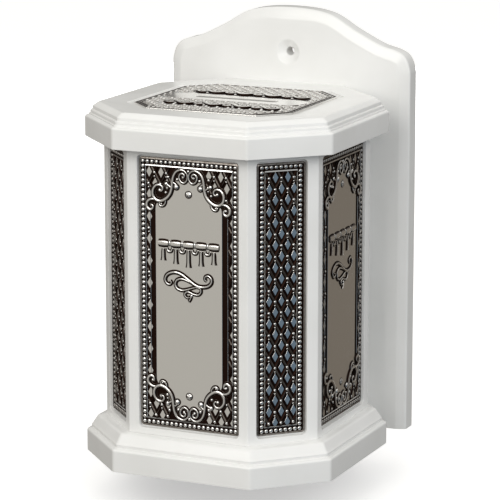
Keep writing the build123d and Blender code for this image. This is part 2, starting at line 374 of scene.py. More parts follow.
def make_lid():
    skin = Skin()
    slot = stadium(top_middle, SLOT_LENGTH + 2 * SLOT_STEP, SLOT_WIDTH + 2 * SLOT_STEP)
    profile = [(inset, lid_low.z + z) for inset, z in BOTTOM_EASE] + LID_PROFILE
    rings = [
        skin.ring(at_height(case_outline(lid_high.x, LID_CORNER, inset), z)) for inset, z in profile
    ]
    skin.loft(rings)
    recess_edge = [(0.3, 0.0), (0.08, 0.06), (0.0, 0.25), (-0.05, TOP_RECESS_DEPTH)]
    recess = [
        skin.ring(at_height(top_octagon(TOP_RECESS_MARGIN + grow), lid_high.z - fall))
        for grow, fall in recess_edge
    ]
    skin.loft(recess)
    slot_rings = [skin.ring(at_height(slot, z)) for z in (lid_high.z - TOP_RECESS_DEPTH, lid_low.z)]
    skin.loft(slot_rings)
    skin.fill(rings[-1], recess[0])
    skin.fill(recess[-1], slot_rings[0])
    skin.fill(rings[0], slot_rings[1])
    return skin.piece("lid_moulded", lacquer, "lid")


def top_corners(margin):
    """The corners of the top plaque in plan, moved outwards by margin, from its front right on."""
    turn = margin * MITRE_RUN
    x, low, high = top_high.x + margin, top_low.y - margin, top_high.y + margin
    cut = TOP_PLAQUE_CORNER + margin - turn
    right = [
        Vector((x - cut, low)), Vector((x, low + cut)),
        Vector((x, high - cut)), Vector((x - cut, high)),
    ]
    return right + [Vector((-c.x, c.y)) for c in reversed(right)]


def top_octagon(margin):
    corner_radius = 0.8
    return rounded(top_corners(margin), [corner_radius] * 8)


def make_base():
    skin = Skin()
    centre = ((stopper_low.x + stopper_high.x) / 2, (stopper_low.y + stopper_high.y) / 2)
    hole_radius, seat_radius, seat_depth, seat_ease = 20.0, 24.2, 3.2, 0.3
    rings = [
        skin.ring(at_height(case_outline(base_high.x, BASE_CORNER, inset), z))
        for inset, z in BOTTOM_EASE + BASE_PROFILE
    ]
    skin.loft(rings)
    seat = [(seat_radius + seat_ease, 0.0), (seat_radius, seat_ease), (seat_radius, seat_depth)]
    hole = [(hole_radius, seat_depth), (hole_radius, case_floor)]
    seat_rings = [skin.ring(at_height(circle(centre, r), z)) for r, z in seat + hole]
    skin.loft(seat_rings)
    skin.fill(rings[0], seat_rings[0])
    recess_inset, recess_arris = 13.0, 1.0
    recess = case_outline(base_high.x, BASE_CORNER, recess_inset, recess_arris)
    top = skin.ring(at_height(recess, case_floor))
    skin.band(rings[-1], top)
    skin.fill(top, seat_rings[-1])
    return skin.piece("base_moulded", lacquer, "base")


# The right half of the board's top edge, from the shoulder to the apex
CREST = [(65.4, 223.1), (56.0, 225.8), (41.0, 233.1), (24.0, 242.1), (0.0, 244.6)]
SHOULDER_START = 210.0


def spline(points, steps, start=None, end=None):
    """A smooth curve through the points; start and end are what it would pass through beyond them."""
    points = [Vector(p) for p in points]
    before = start if start is not None else points[0] * 2 - points[1]
    after = end if end is not None else points[-1] * 2 - points[-2]
    chain = [Vector(before)] + points + [Vector(after)]
    curve = []
    for a, b, c, d in zip(chain, chain[1:], chain[2:], chain[3:]):
        for step in range(steps):
            t = step / steps
            curve.append(0.5 * (2 * b + (c - a) * t + (2 * a - 5 * b + 4 * c - d) * t * t
                                + (3 * b - a - 3 * c + d) * t ** 3))
    return curve + [points[-1]]


def board_outline():
    """The board's closed outline in X and Z, from the bottom right corner upwards and round."""
    half = board_high.x
    turn = (half - 4.7, 220.7)
    shoulder = spline(
        [(half, SHOULDER_START), (half - 1.6, 216.4), turn, CREST[0]], 5,
        start=Vector((half, SHOULDER_START - 6)), end=Vector(CREST[1]),
    )
    crest = spline(CREST, 7, start=Vector(turn), end=Vector((-CREST[3][0], CREST[3][1])))
    side = [Vector((half, z)) for z in (board_low.z, 60, 120, 180)]
    right = side + shoulder + crest[1:]
    return right + [Vector((-p.x, p.y)) for p in reversed(right[:-1])]


def moved_in(outline, distance):
    """An outline in X and Z moved inwards; its bottom edge stays where it is."""
    moved = []
    for i, point in enumerate(outline):
        if i in (0, len(outline) - 1):
            side = 1 if point.x > 0 else -1
            moved.append(Vector((point.x - side * distance, point.y)))
            continue
        along = (outline[i + 1] - outline[i - 1]).normalized()
        moved.append(point + Vector((-along.y, along.x)) * distance)
    return moved


# Front edge of the board as (inset, depth behind the front face)
BOARD_EDGE = [
    (0.0, 2.9), (0.12, 2.4), (0.45, 2.0), (1.0, 1.7), (2.2, 1.25), (3.8, 0.7), (5.3, 0.25), (6.6, 0.0),
]
BOARD_BACK_EASE = [(0.6, 0.0), (0.15, 0.2), (0.0, 0.7)]
HOLE_Z = 218.8
# The dished mouth of the hanging hole as (radius, depth behind the front face)
HOLE_DISH = [(7.6, 0.0), (7.0, 0.12), (6.2, 0.65), (4.6, 1.9), (3.1, 2.9), (2.55, 3.3), (2.4, 3.8)]
# Four countersunk screws hold the board to the lid and the base
SCREW_X = 30
SCREW_HEIGHTS = (11, 190)
SCREW_HEAD_RADIUS, SCREW_RADIUS, SCREW_SINK = 3.8, 2.05, 1.75


def make_board():
    skin = Skin()
    outline = board_outline()
    levels = [(inset, board_high.y - rise) for inset, rise in BOARD_BACK_EASE]
    levels += [(inset, board_low.y + fall) for inset, fall in BOARD_EDGE]
    edge = [skin.ring(at_depth(moved_in(outline, inset), y)) for inset, y in levels]
    skin.loft(edge)
    levels = [(radius, board_low.y + fall) for radius, fall in HOLE_DISH]
    levels.append((HOLE_DISH[-1][0], board_high.y))
    hanging = [skin.ring(at_depth(circle((0, HOLE_Z), radius, 40), y)) for radius, y in levels]
    skin.loft(hanging)
    levels = [
        (SCREW_HEAD_RADIUS, board_high.y), (SCREW_RADIUS, board_high.y - SCREW_SINK),
        (SCREW_RADIUS, board_low.y),
    ]
    screw_holes = []
    for x in (-SCREW_X, SCREW_X):
        for z in SCREW_HEIGHTS:
            rings = [skin.ring(at_depth(circle((x, z), radius, 32), y)) for radius, y in levels]
            skin.loft(rings)
            screw_holes.append((rings[0], rings[-1]))
    skin.fill(edge[-1], hanging[0], *[hole[1] for hole in screw_holes])
    skin.fill(edge[0], hanging[-1], *[hole[0] for hole in screw_holes])
    return skin.piece("hanging_board", lacquer, "back_board")


WALL_ARRIS = 1.2
POCKET_CORNER = 2.4
# A pocket's mouth as (how much wider than the pocket, depth behind the wall's face)
POCKET_MOUTH = [(0.45, 0.0), (0.13, 0.13), (0.0, 0.45), (0.0, POCKET_DEPTH)]


def wall_arris(corner, along, inward):
    """Half of the rounding at a wall's corner: from the flat face to the mitre."""
    reach = WALL_ARRIS * MITRE_RUN
    steps = 3
    centre = corner + along * reach + inward * WALL_ARRIS
    turns = [radians(22.5) * step / steps for step in range(steps + 1)]
    return [centre - inward * WALL_ARRIS * cos(a) - along * WALL_ARRIS * sin(a) for a in turns]


def make_wall(index, name):
    skin = Skin()
    first, second = case_corners[index], case_corners[index + 1]
    along = (second - first).normalized()
    inward = Vector((along.y, -along.x))
    if inward.dot(first + second) > 0:
        inward = -inward
    start = [first] if index == 0 else list(reversed(wall_arris(first, along, inward)))
    end = [second] if index == len(WALL_NAMES) - 1 else wall_arris(second, -along, inward)
    inner_first = inner_corner(index, first, along, inward)
    inner_second = inner_corner(index + 1, second, -along, inward)
    section = start + end + [inner_second, inner_first]
    bottom = skin.ring(at_height(section, case_floor))
    top = skin.ring(at_height(section, lid_low.z - TOP_EASE))
    eased = [p + inward * TOP_EASE for p in section[:-2]] + section[-2:]
    crown = skin.ring(at_height(eased, lid_low.z))
    skin.band(top, crown)
    flat_start, flat_end = len(start) - 1, len(start)
    for i in range(len(section)):
        j = (i + 1) % len(section)
        if i == flat_start and has_pocket(name):
            continue
        skin.faces.append((bottom[i], bottom[j], top[j], top[i]))
    skin.fill(bottom)
    skin.fill(crown)
    if has_pocket(name):
        middle = (first + second) / 2 - along * POCKET_OFFSET.get(name, 0.0)
        half = (second - first).length / 2 - STILE_WIDTH
        rings = []
        for grow, depth in POCKET_MOUTH:
            low, high, reach = POCKET_BOTTOM - grow, POCKET_TOP + grow, half + grow
            corners = [Vector(c) for c in ((-reach, low), (reach, low), (reach, high), (-reach, high))]
            rings.append(skin.ring([
                tuple(middle + along * p.x + inward * depth) + (p.y,)
                for p in rounded(corners, [POCKET_CORNER + grow] * 4, 5)
            ]))
        skin.loft(rings)
        skin.fill([bottom[flat_start], bottom[flat_end], top[flat_end], top[flat_start]], rings[0])
        skin.fill(rings[-1])
    return skin.piece(f"case_wall_{name}", lacquer, f"wall_{name}")


def has_pocket(name):
    return not name.startswith("rear")


def inner_corner(corner_index, corner, direction, inward):
    """Where the inner face ends: on the board, or on the mitre with the next wall."""
    run = WALL_THICKNESS * MITRE_RUN
    if corner_index in (0, len(case_corners) - 1):
        # The wall meets the board at 45 degrees, so its inner face runs on to the board's plane
        run = -WALL_THICKNESS
    return corner + direction * run + inward * WALL_THICKNESS


make_lid()
make_base()
make_board()
for wall_index, wall_name in enumerate(WALL_NAMES):
    make_wall(wall_index, wall_name)

# ---- relief plaques
# Each plaque is drawn in its own frame: u to the right, v up from its middle, w out from the floor
# of its pocket. GROUND is the blackened surface that all relief stands on.
GROUND = 0.8
FIELD = 1.3
# A wall plaque's rim from its back upwards and inwards, as (inset, height, tone)
RIM = [
    (0.0, 0.0, 0.2), (0.0, 0.99, 0.3), (0.1, 1.12, 0.5), (0.95, 1.35, 0.55), (1.03, 1.27, 0.3),
    (1.08, GROUND, 0.0),
]
BEAD_PITCH = 2.72

# Half of a stroke's cross-section from its edge to its crest, as (share of the half width, share of
# the skirt, share of the height, tone); the skirt is the dark line round each stroke
SKIRT = [(1.0, 1.0, 0.0, 0.5), (1.0, 0.8, 0.03, 0.0), (1.0, 0.0, 0.1, 0.0)]
STROKE_SECTION = SKIRT + [(0.92, 0.0, 0.45, 0.05), (0.74, 0.0, 0.78, 0.5), (0.42, 0.0, 0.95, 1.0)]
VINE_SECTION = SKIRT + [(0.98, 0.0, 0.7, 0.0), (0.84, 0.0, 0.9, 0.4), (0.5, 0.0, 1.0, 1.0)]
STRAP_SECTION = [(1.0, 0.0, 0.0, 0.0), (0.75, 0.0, 0.45, 0.15), (0.35, 0.0, 0.88, 1.0)]
# A ledge's whole cross-section as (distance across, height above the ground, tone)
LEDGE_SECTION = [
    (-0.4, -0.1, 0.0), (-0.4, 0.46, 0.6), (-0.3, 0.58, 1.0), (0.3, 0.4, 1.0), (0.4, 0.26, 0.5),
    (0.4, -0.1, 0.0),
]
RAIL_SECTION = [
    (1.0, 0.0, 0.0, 0.0), (0.92, 0.0, 0.4, 0.6), (0.7, 0.0, 0.72, 1.0), (0.38, 0.0, 0.92, 1.0),
]
# A bead from its foot upwards, as (share of the radius, share of the height, tone)
BEAD_PROFILE = [
    (1.0, 0.0, 0.0), (0.99, 0.3, 0.1), (0.9, 0.56, 0.9), (0.68, 0.8, 1.0), (0.36, 0.95, 1.0),
]


def bead(skin, place, radius, base=GROUND, height=None, segments=10, stretch=1.0, skirt=0.0):
    """A domed bead; stretch makes it longer along v, skirt puts a dark line round its foot."""
    height = radius * 0.85 if height is None else height
    foot = [(1 + skirt, -0.1, 0.5), (1 + skirt, 0.01, 0.5), (1 + skirt * 0.6, 0.03, 0.0)]
    rings = []
    for spread, rise, tone in foot + BEAD_PROFILE if skirt else BEAD_PROFILE:
        ring = [
            (place[0] + p.x * spread, place[1] + p.y * spread * stretch, base + height * rise)
            for p in circle((0, 0), radius, segments)
        ]
        rings.append(skin.ring(ring, tone))
    skin.loft(rings)
    skin.faces.append(tuple(reversed(rings[0])))
    skin.cap(rings[-1], (place[0], place[1], base + height))


def stroke(
    skin, path, half_widths, height, base, skirt=0.45, section=STROKE_SECTION, painted_light_scale=1.0, under=0.12
):
    """A raised line along a path; half_widths are its half width at the start, middle and end.

    Its tone scale argument paints shade, as on the lattice's straps, and under is its depth below its
    base.
    """
    full = [(-a, -b, c, t * painted_light_scale) for a, b, c, t in section] + [(0.0, 0.0, 1.0, painted_light_scale)]
    full += [(a, b, c, t * painted_light_scale) for a, b, c, t in reversed(section)]
    start, middle, end = half_widths
    outer_skirt = skirt * abs(section[0][1])
    rings = []
    last = len(path) - 1
    for i, point in enumerate(path):
        along = (path[min(i + 1, last)] - path[max(i - 1, 0)]).normalized()
        across = Vector((along.y, -along.x))
        share = i / last
        swell = sin(pi * share)
        half = (start * (1 - share) + end * share) * (1 - swell) + middle * swell
        rise = height * min(1.0, 0.55 + 0.45 * half / middle)
        ring, tones = [], []
        for width_share, skirt_share, height_share, tone in full:
            place = point + across * (half * width_share + skirt * skirt_share)
            ring.append((place.x, place.y, base + rise * height_share))
            tones.append(tone)
        for side in (1, -1):
            place = point + across * (half + outer_skirt) * side
            ring.append((place.x, place.y, base - under))
            tones.append(0.0)
        rings.append(skin.ring(ring, tones))
    skin.loft(rings)
    skin.faces.append(tuple(reversed(rings[0])))
    skin.faces.append(tuple(rings[-1]))


def raised(skin, outline, levels):
    """Rings of an outline at levels of (inset, height, tone), joined into a wall."""
    rings = [skin.ring(at_height(shrunk(outline, inset), w), tone) for inset, w, tone in levels]
    skin.loft(rings)
    return rings


def panel(skin, outline, base, top, hole=None):
    """A raised flat panel with a small bevel; its hole, if any, has a sloping mouth."""
    edge, slope, ease = 0.14, 0.35, 0.1
    foot = base - 0.1
    rings = raised(skin, outline, [(0.0, foot, 0.0), (0.0, top - edge, 0.25), (edge, top, 1.0)])
    holes = []
    if hole:
        mouth = [(0.0, foot), (0.0, top - slope), (ease - slope, top - ease), (-slope, top)]
        holes = raised(skin, hole, [(inset, w, 1.0) for inset, w in mouth])
    skin.fill(rings[-1], *holes[-1:])
    skin.fill(rings[0], *holes[:1])


def shrunk(outline, distance):
    """A closed outline moved inwards along its own normals."""
    area = sum(a.x * b.y - a.y * b.x for a, b in zip(outline, outline[1:] + outline[:1]))
    side = 1 if area > 0 else -1
    moved = []
    for i, point in enumerate(outline):
        back = (point - outline[i - 1]).normalized()
        on = (outline[(i + 1) % len(outline)] - point).normalized()
        normal = Vector((-(back + on).y, (back + on).x)).normalized()
        stretch = max(0.4, normal.dot(Vector((-back.y, back.x))))
        moved.append(point + normal * (side * distance / stretch))
    return moved


def rectangle(half_u, half_v):
    return [
        Vector((-half_u, -half_v)), Vector((half_u, -half_v)),
        Vector((half_u, half_v)), Vector((-half_u, half_v)),
    ]


def plate(skin, outline, levels, hole=None, ground_tone=0.0):
    """A plaque's sheet: its back, its rim as levels of (inset, height, tone), and its ground."""
    rings = raised(skin, outline, levels)
    holes = raised(skin, hole, [(0.0, w, ground_tone) for w in (0.0, GROUND)]) if hole else []
    skin.fill(rings[-1], *holes[-1:])
    skin.fill(rings[0], *holes[:1])


def bead_line(skin, start, end, radius, height, last=True):
    """Evenly spaced beads from start to end."""
    start, end = Vector(start), Vector(end)
    count = max(1, round((end - start).length / BEAD_PITCH))
    for i in range(count + (1 if last else 0)):
        bead(skin, start + (end - start) * i / count, radius, height=height, segments=12)


def rail(skin, u, half_v, half_width, height):
    ends = [Vector((u, -half_v)), Vector((u, half_v))]
    stroke(skin, ends, (half_width,) * 3, height, GROUND, 0.0, RAIL_SECTION)


def ledge(skin, half_u, v):
    """A flat bar across the plaque whose face leans a little towards the nearer end."""
    lean = 1 if v > 0 else -1
    tones = [tone for across, rise, tone in LEDGE_SECTION]
    rings = []
    for u in (-half_u, half_u):
        section = [(u, v + lean * across, GROUND + rise) for across, rise, tone in LEDGE_SECTION]
        rings.append(skin.ring(section, tones))
    skin.loft(rings)
    skin.faces.append(tuple(reversed(rings[0])))
    skin.faces.append(tuple(rings[1]))


def clipped(polygon, axis, limit, below):
    """The part of a polygon on one side of a line of constant u (axis 0) or v (axis 1)."""
    kept = []
    for i, point in enumerate(polygon):
        other = polygon[(i + 1) % len(polygon)]
        inside, other_inside = (point[axis] <= limit) == below, (other[axis] <= limit) == below
        if inside:
            kept.append(point)
        if inside != other_inside:
            share = (limit - point[axis]) / (other[axis] - point[axis])
            kept.append(point + (other - point) * share)
    return kept


LATTICE_CELL = (7.15, 12.38)
FACET_HALF = (1.7, 3.1)
FACET_SHIFT = Vector((0.3, 0.2))
# Beads on the lattice's crossings and below them: (radius, foot above the ground, height)
CROSSING_BEAD = (0.82, 0.45, 0.7)
LOWER_BEAD = (0.55, 0.35, 0.5)
LOWER_BEAD_FALL = 2.1 / LATTICE_CELL[1]
STRAP_HALF_WIDTH, STRAP_HEIGHT = 0.85, 0.68
# Tone scale of the straps that rise to the right (1) and to the left (-1): painted shade, much deeper
# on the right-rising straps, for how each direction catches the light
STRAP_PAINTED_LIGHT = ((1, 0.06), (-1, 0.45))


def lattice(skin, low, high, blocked, origin, cell=LATTICE_CELL, facet=FACET_HALF):
    """Crossing straps with beads on their crossings and a flat diamond between them."""
    step = Vector((cell[0] / 2, cell[1] / 2))

    def open_at(point):
        return low[0] <= point.x <= high[0] and low[1] <= point.y <= high[1] and not blocked(point)

    def lattice_bead(place, size):
        if open_at(place):
            bead(skin, place, size[0], GROUND + size[1], size[2], 8)

    reach_u = int(max(abs(low[0]), abs(high[0])) / step.x) + 2
    reach_v = int((max(abs(low[1]), abs(high[1])) + abs(origin[1])) / step.y) + 2
    for i in range(-reach_u, reach_u + 1):
        for j in range(-reach_v, reach_v + 1):
            if (i + j) % 2:
                continue
            node = Vector((origin[0] + i * step.x, origin[1] + j * step.y))
            lattice_bead(node, CROSSING_BEAD)
            lattice_bead(node - Vector((0, LOWER_BEAD_FALL * cell[1])), LOWER_BEAD)
            for direction, painted_light_scale in STRAP_PAINTED_LIGHT:
                strap(skin, node, Vector((step.x * direction, step.y)), open_at, painted_light_scale)
            centre = node + Vector((step.x, 0)) + FACET_SHIFT
            if blocked(centre):
                continue
            tips = ((facet[0], 0), (0, facet[1]), (-facet[0], 0), (0, -facet[1]))
            diamond = [centre + Vector(tip) for tip in tips]
            for axis in (0, 1):
                diamond = clipped(diamond, axis, low[axis], False)
                diamond = clipped(diamond, axis, high[axis], True)
            if len(diamond) > 2:
                facet_panel(skin, diamond)


def strap(skin, node, reach, open_at, painted_light_scale):
    """One strap from a crossing to the next, cut where the lattice ends."""
    steps = 6
    run = []
    for i in range(steps + 1):
        point = node + reach * (i / steps)
        if open_at(point):
            run.append(point)
        if (not open_at(point) or i == steps) and len(run) > 1:
            half_widths = (STRAP_HALF_WIDTH,) * 3
            ends = [run[0], run[-1]]
            stroke(skin, ends, half_widths, STRAP_HEIGHT, GROUND, 0.0, STRAP_SECTION, painted_light_scale)
            run = []


def facet_panel(skin, outline):
    middle = sum(outline, Vector((0, 0))) / len(outline)
    levels = [(1.0, GROUND - 0.1, 0.0), (1.0, GROUND + 0.2, 0.0), (0.94, GROUND + 0.3, 1.0)]
    rings = [
        skin.ring([tuple(middle + (p - middle) * size) + (w,) for p in outline], tone)
        for size, w, tone in levels
    ]
    skin.loft(rings)
    skin.faces.append(tuple(rings[-1]))
    skin.faces.append(tuple(reversed(rings[0])))


def on_face(skin, index):
    """Moves a plaque from its own frame to the floor of a wall's pocket."""
    first, second = case_corners[index], case_corners[index + 1]
    along = (first - second).normalized()
    out = Vector((along.y, -along.x))
    offset = POCKET_OFFSET.get(WALL_NAMES[index], 0.0)
    middle = (first + second) / 2 - out * POCKET_DEPTH + along * offset
    middle, along, out = middle.to_3d(), along.to_3d(), out.to_3d()
    middle.z = (POCKET_BOTTOM + POCKET_TOP) / 2
    skin.points = [tuple(middle + along * u + Vector((0, 0, v)) + out * w) for u, v, w in skin.points]


def plaque_half_width(index):
    return (case_corners[index] - case_corners[index + 1]).length / 2 - STILE_WIDTH - PLAQUE_GAP


PLAQUE_GAP, PLAQUE_END_GAP = 0.6, 1.1
PLAQUE_CORNER = 1.6
PLAQUE_HALF_HEIGHT = (POCKET_TOP - POCKET_BOTTOM) / 2 - PLAQUE_END_GAP
# Half heights of a plaque's rows of beads, of the ledges and rails inside them and of its lattice
BEAD_V = PLAQUE_HALF_HEIGHT - 2.3
LEDGE_V = BEAD_V - 2.1
RAIL_V = BEAD_V - 1.9
LATTICE_V = PLAQUE_HALF_HEIGHT - 4.9
# One row of the lattice's crossings is this far above the plaque's middle
CROSSING_V = 54.9
BEAD_RADIUS, BEAD_HEIGHT = 1.12, 0.78
# Tone scale for each plaque's rim, beads, rails, ledges and lattice: painted shade that darkens the
# plaques turned away from the light, 1 for none
PAINTED_PLAQUE_SHADE = {"front": 1.0, "front_right": 1.0, "right": 0.75, "left": 0.75, "front_left": 0.75}


def border(skin, half_u, bead_u, rail_u):
    """Rim, beads, and the bright rails and ledges inside them."""
    plate(skin, rounded(rectangle(half_u, PLAQUE_HALF_HEIGHT), [PLAQUE_CORNER] * 4), RIM)
    inner = bead_u - BEAD_PITCH
    for side in (1, -1):
        bead_line(skin, (side * bead_u, -BEAD_V), (side * bead_u, BEAD_V), BEAD_RADIUS, BEAD_HEIGHT)
        bead_line(skin, (-inner, side * BEAD_V), (inner, side * BEAD_V), BEAD_RADIUS, BEAD_HEIGHT)
        rail(skin, side * rail_u, RAIL_V, 0.28, 0.4)
        ledge(skin, rail_u, side * LEDGE_V)


def diamond_plaque(index, name):
    """A chamfer's plaque: lattice from rail to rail."""
    skin = Skin()
    bead_u, rail_u, lattice_u = 11.1, 9.3, 9.1
    border(skin, plaque_half_width(index), bead_u, rail_u)
    low, high = (-lattice_u, -LATTICE_V), (lattice_u, LATTICE_V)
    lattice(skin, low, high, lambda p: False, (0, CROSSING_V))
    # Darken the plaque by its painted shade
    skin.tones = [tone * PAINTED_PLAQUE_SHADE[name] for tone in skin.tones]
    on_face(skin, index)
    return skin.piece(f"diamond_plaque_{name}", silver, f"plaque_{name}", 32)


# Upper right quarter of the figured plaque's cartouche: (points, half widths, height)
QUARTER_STROKES = [
    ([(1.0, 68.3), (2.6, 69.6), (4.8, 69.8), (7.3, 68.4), (8.9, 65.6), (9.5, 62.2), (9.9, 59.0),
      (11.0, 56.0), (13.2, 53.5), (16.2, 51.9), (19.2, 52.3), (21.1, 54.6), (21.1, 57.8),
      (19.2, 60.3), (16.6, 60.6), (15.2, 59.0), (15.9, 57.4), (17.2, 57.6)], (0.5, 1.0, 0.4), 1.15),
    ([(1.0, 68.6), (0.4, 66.8), (0.7, 64.4), (2.4, 62.8), (4.4, 63.5), (5.4, 65.6), (4.7, 67.5),
      (3.1, 67.9), (2.2, 66.8), (2.7, 65.8), (3.4, 66.0)], (0.4, 0.6, 0.4), 0.95),
    ([(18.3, 51.7), (20.8, 52.6), (23.2, 52.1), (24.8, 50.4), (24.8, 48.1), (23.2, 46.7),
      (21.6, 47.3), (21.2, 48.9), (22.3, 49.6)], (0.4, 1.0, 0.4), 1.15),
    ([(13.6, 52.9), (13.8, 50.9), (15.0, 49.4), (16.7, 49.2), (17.5, 50.3), (16.8, 51.1)],
     (0.4, 0.55, 0.3), 0.85),
    ([(9.4, 62.4), (8.4, 62.4), (7.2, 61.4)], (0.5, 0.55, 0.6), 0.8),
    ([(9.9, 59.4), (11.2, 60.4), (12.6, 61.2)], (0.5, 0.55, 0.6), 0.8),
]
# How far the scrolls reach from the field's height down into the ground round it
SCROLL_DEPTH = FIELD - GROUND + 0.05
# The quarter's beads, as (u, v, radius)
QUARTER_BEADS = [
    (7.2, 60.2, 1.55), (13.2, 61.5, 1.2), (13.6, 56.7, 0.75), (17.2, 57.8, 0.95), (3.2, 65.6, 0.8),
    (6.7, 64.4, 0.85), (12.1, 65.3, 0.8), (22.3, 49.2, 0.8), (16.3, 50.2, 0.6),
]
# The groove beside the smooth field: its outer edge, and where it ends
GROOVE_U, GROOVE_V = 23.2, 47.5
# Upper right quarter of the smooth field's outline, from its right edge to the middle of its top
FIELD_TOP = [
    (20.0, 46.5), (19.6, 49.6), (18.0, 51.4), (15.4, 52.3), (12.9, 53.8), (10.9, 56.2), (9.9, 59.2),
    (9.4, 62.0), (7.6, 63.6), (4.0, 63.4), (0.0, 63.6),
]
# The circle round the large volute that the lattice stays out of
VOLUTE = Vector((18.0, 56.6))
VOLUTE_RADIUS = 4.6


def mirrored(points, across, up):
    return [Vector((x * across, v * up)) for x, v in points]


def field_outline():
    quarter = spline(FIELD_TOP, 3, start=(20.0, 43.0), end=(-4.0, 63.4))
    half = quarter + mirrored(reversed(quarter[:-1]), -1, 1)
    return half + mirrored(reversed(half), 1, -1)


def cartouche_blocks(point):
    """Where the lattice gives way to the field, its groove and the large volutes."""
    u, v = abs(point.x), abs(point.y)
    if v < GROOVE_V:
        return u < GROOVE_U
    if (Vector((u, v)) - VOLUTE).length < VOLUTE_RADIUS:
        return True
    arch_half_width, arch_foot, arch_spread = 10.2, 59.0, 1.05
    shoulder_v, shoulder_u = 53.5, 26.0
    arch_edge = arch_half_width + max(0.0, arch_foot - v) * arch_spread
    return u < arch_edge or (v < shoulder_v and u < shoulder_u)


def figured_plaque(index, name):
    """A plaque with a smooth field in a cartouche of scrolls, a frieze and a flourish."""
    skin = Skin()
    half_u = plaque_half_width(index)
    bead_inset, rail_inset, lattice_inset = 2.1, 3.7, 3.9
    border(skin, half_u, half_u - bead_inset, half_u - rail_inset)
    lattice_u = half_u - lattice_inset
    low, high = (-lattice_u, -LATTICE_V), (lattice_u, LATTICE_V)
    lattice(skin, low, high, cartouche_blocks, (1.0, CROSSING_V))
    for side in (1, -1):
        rail(skin, side * GROOVE_U, GROOVE_V - 0.5, 0.25, 0.45)
    # Darken the plaque's border, lattice and groove rails by its painted shade
    skin.tones = [tone * PAINTED_PLAQUE_SHADE[name] for tone in skin.tones]
    panel(skin, field_outline(), GROUND, FIELD)
    for across in (1, -1):
        for up in (1, -1):
            for points, half_widths, height in QUARTER_STROKES:
                path = spline(mirrored(points, across, up), 5)
                stroke(skin, path, half_widths, height, FIELD, 0.6, under=SCROLL_DEPTH)
            for u, v, radius in QUARTER_BEADS:
                bead(skin, (u * across, v * up), radius, FIELD, None, 12, 1.0, 0.4)
    for up in (1, -1):
        bead(skin, (0, 69.2 * up), 0.85, GROUND + 0.5)
        bead(skin, (0, NAIL_V * up), 1.3, FIELD, 0.2, 20, 1.0, 0.75)
    frieze(skin)
    flourish(skin)
    on_face(skin, index)
    return skin.piece(f"figured_plaque_{name}", silver, f"plaque_{name}", 32)


REEL_PITCH = 7.6
REEL_V = 28.6
DROP_TOP = REEL_V - 2.9
# A drop is this long in the middle, and each one further out is shorter by the second amount
DROP_LENGTH, DROP_SHORTENING = 9.6, 1.4
# The swag between two reels, as (distance across, fall below the rod)
SWAG = [(-1.6, 2.6), (-0.9, 4.2), (0.9, 4.2), (1.6, 2.6)]


def frieze(skin):
    """A bead-and-reel rod with hanging drops, across the field."""
    for i in range(-2, 3):
        u = i * REEL_PITCH
        reel = [Vector((u + along, REEL_V)) for along in (-3.0, -1.0, 1.0, 3.0)]
        stroke(skin, reel, (1.6, 1.9, 1.6), 1.1, FIELD, 0.6)
        length = DROP_LENGTH - DROP_SHORTENING * abs(i)
        drop = [Vector((u, DROP_TOP - length * step / 6)) for step in range(7)]
        stroke(skin, drop, (0.5, 0.9, 1.4), 0.9, FIELD, 0.6)
    for i in range(-2, 2):
        u = (i + 0.5) * REEL_PITCH
        bead(skin, (u, REEL_V), 0.75, FIELD, 0.9, 10, 2.3)
        swag = spline([(u + along, REEL_V - fall) for along, fall in SWAG], 4)
        stroke(skin, swag, (0.4, 0.65, 0.4), 0.7, FIELD, 0.55)


# The flourish below the frieze, as (points, half widths)
FLOURISH = [
    ([(-11.2, 8.1), (-10.4, 7.0), (-11.4, 5.9), (-13.2, 6.4), (-14.2, 8.4), (-13.2, 10.9),
      (-10.6, 12.5), (-7.4, 12.9), (-4.2, 12.0), (-0.8, 9.9), (2.6, 7.6), (5.8, 6.2), (9.2, 6.1),
      (12.0, 7.0), (13.7, 9.0), (13.5, 11.3), (11.8, 12.6), (10.0, 11.9), (9.8, 10.3),
      (10.9, 9.6)], (0.324, 0.72, 0.324)),
    ([(5.6, 5.6), (2.4, 7.4), (-1.2, 9.0), (-4.4, 9.6), (-7.0, 8.6), (-8.0, 6.4), (-7.0, 4.2),
      (-4.2, 3.2), (-0.8, 3.9), (2.8, 5.2), (5.8, 5.9)], (0.288, 0.612, 0.288)),
    ([(5.0, 5.6), (7.0, 5.2), (7.4, 3.2), (5.8, 1.6), (3.0, 1.7), (0.2, 2.7), (-1.8, 2.1),
      (-2.2, 0.5), (-0.8, -0.6), (1.0, -0.2)], (0.288, 0.504, 0.288)),
    ([(1.6, 0.2), (1.0, -1.4), (0.0, -3.0)], (0.432, 0.396, 0.18)),
]


def flourish(skin):
    for points, half_widths in FLOURISH:
        stroke(skin, spline(points, 5), half_widths, 0.9, FIELD, 0.75)
    bead(skin, (1.7, 0.6), 0.9, FIELD, 0.8)


NAIL_V = 56.4
# Rings of a nail's head as (radius, height, how far every other pair of corners drops); the drops
# look hammered
NAIL_PROFILE = [
    (1.75, 0.0, 0.0), (1.75, 0.22, 0.0), (1.6, 0.42, 0.12), (1.2, 0.62, 0.3), (0.7, 0.78, 0.22),
    (0.3, 0.84, 0.05),
]
NAIL_CORNERS = 20
SHANK_RADIUS, SHANK_END, SHANK_POINT = 0.55, -4.2, 1.2


